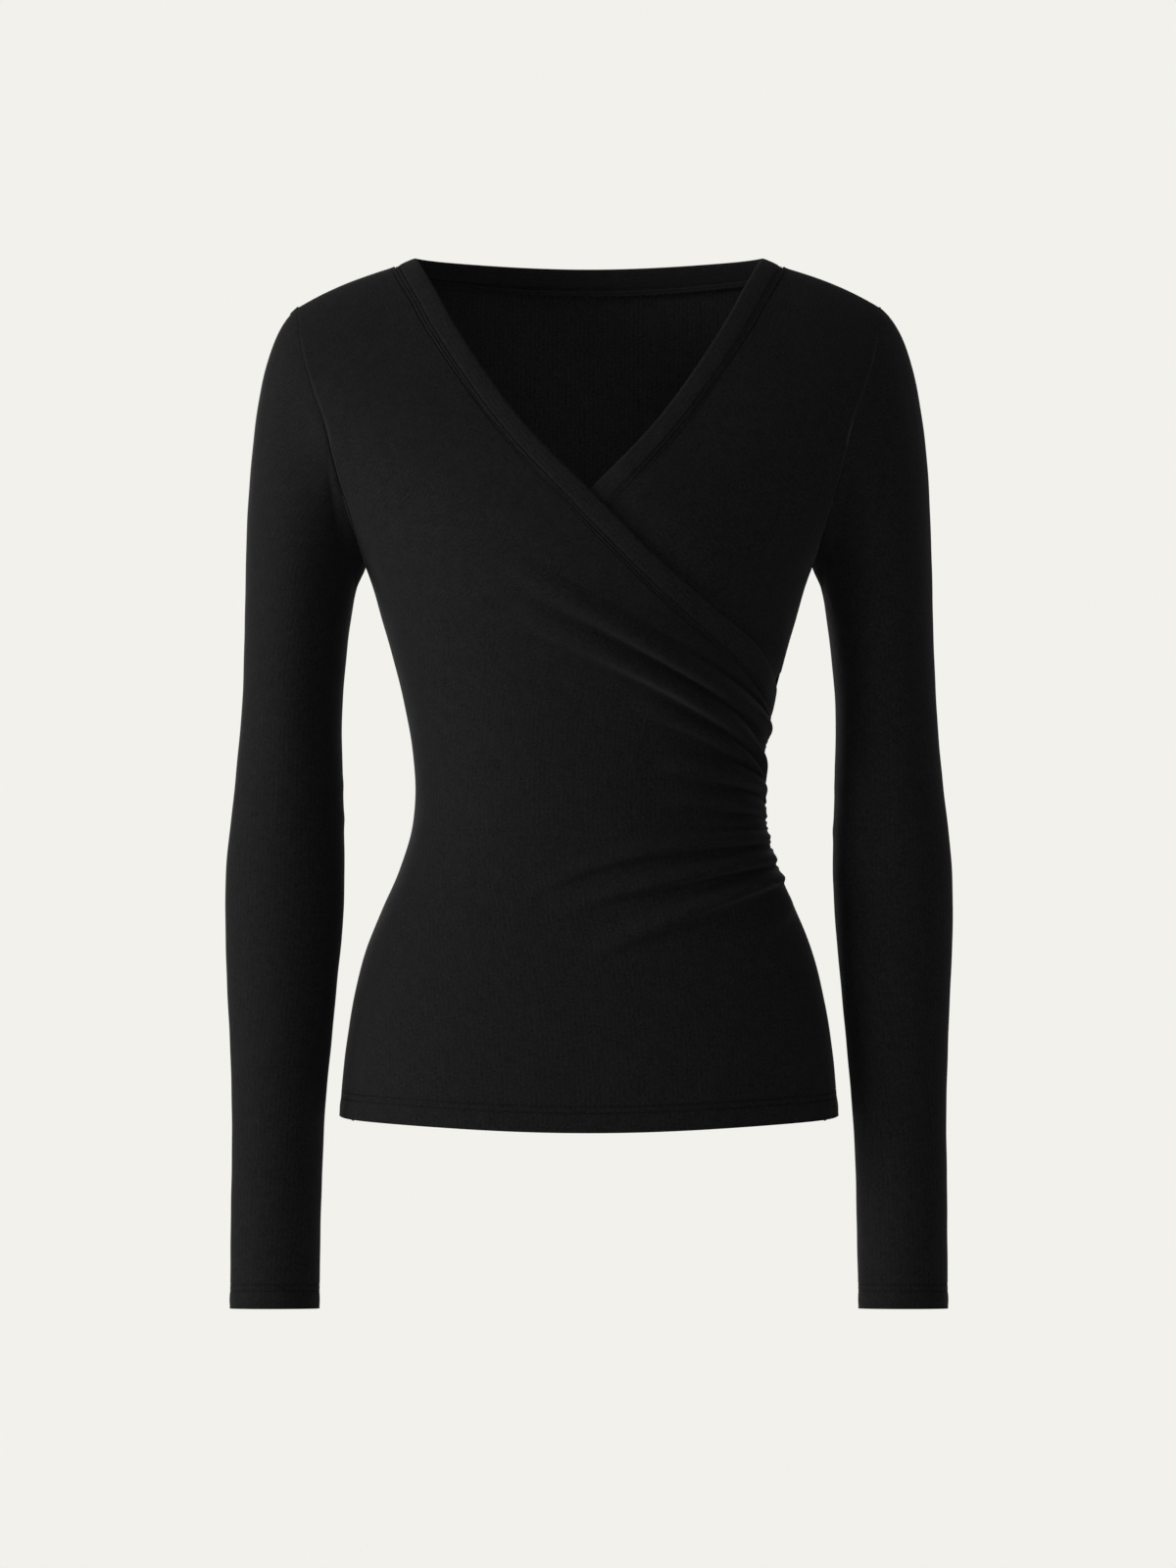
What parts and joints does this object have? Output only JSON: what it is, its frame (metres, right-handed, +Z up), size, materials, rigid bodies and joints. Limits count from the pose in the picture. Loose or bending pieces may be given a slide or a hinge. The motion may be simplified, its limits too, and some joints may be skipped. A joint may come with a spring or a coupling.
{
  "type": "wrap top",
  "caption": "Long-sleeved wrap top in fine jersey, its front crossed over and gathered into one side seam, with a folded band round the neck.",
  "frame": {"origin": "between the two high points of the shoulders at the sides of the neck, where the top hangs on the wearer's shoulders", "axes": "+Z up towards the neck, -Y towards the front, +X towards the wearer's left"},
  "size_m": [0.4626, 0.2261, 0.6699],
  "materials": {
    "jersey_front": "matte fine jersey knit",
    "jersey_back": "matte fine jersey knit",
    "jersey_sleeve": "matte fine jersey knit",
    "jersey_neckband": "matte fine jersey knit, folded double"
  },
  "bodies": {
    "root": {"front_right": "jersey_front", "front_left": "jersey_front", "back": "jersey_back", "sleeve_left": "jersey_sleeve", "sleeve_right": "jersey_sleeve", "neckband": "jersey_neckband"}
  },
  "joints": []
}
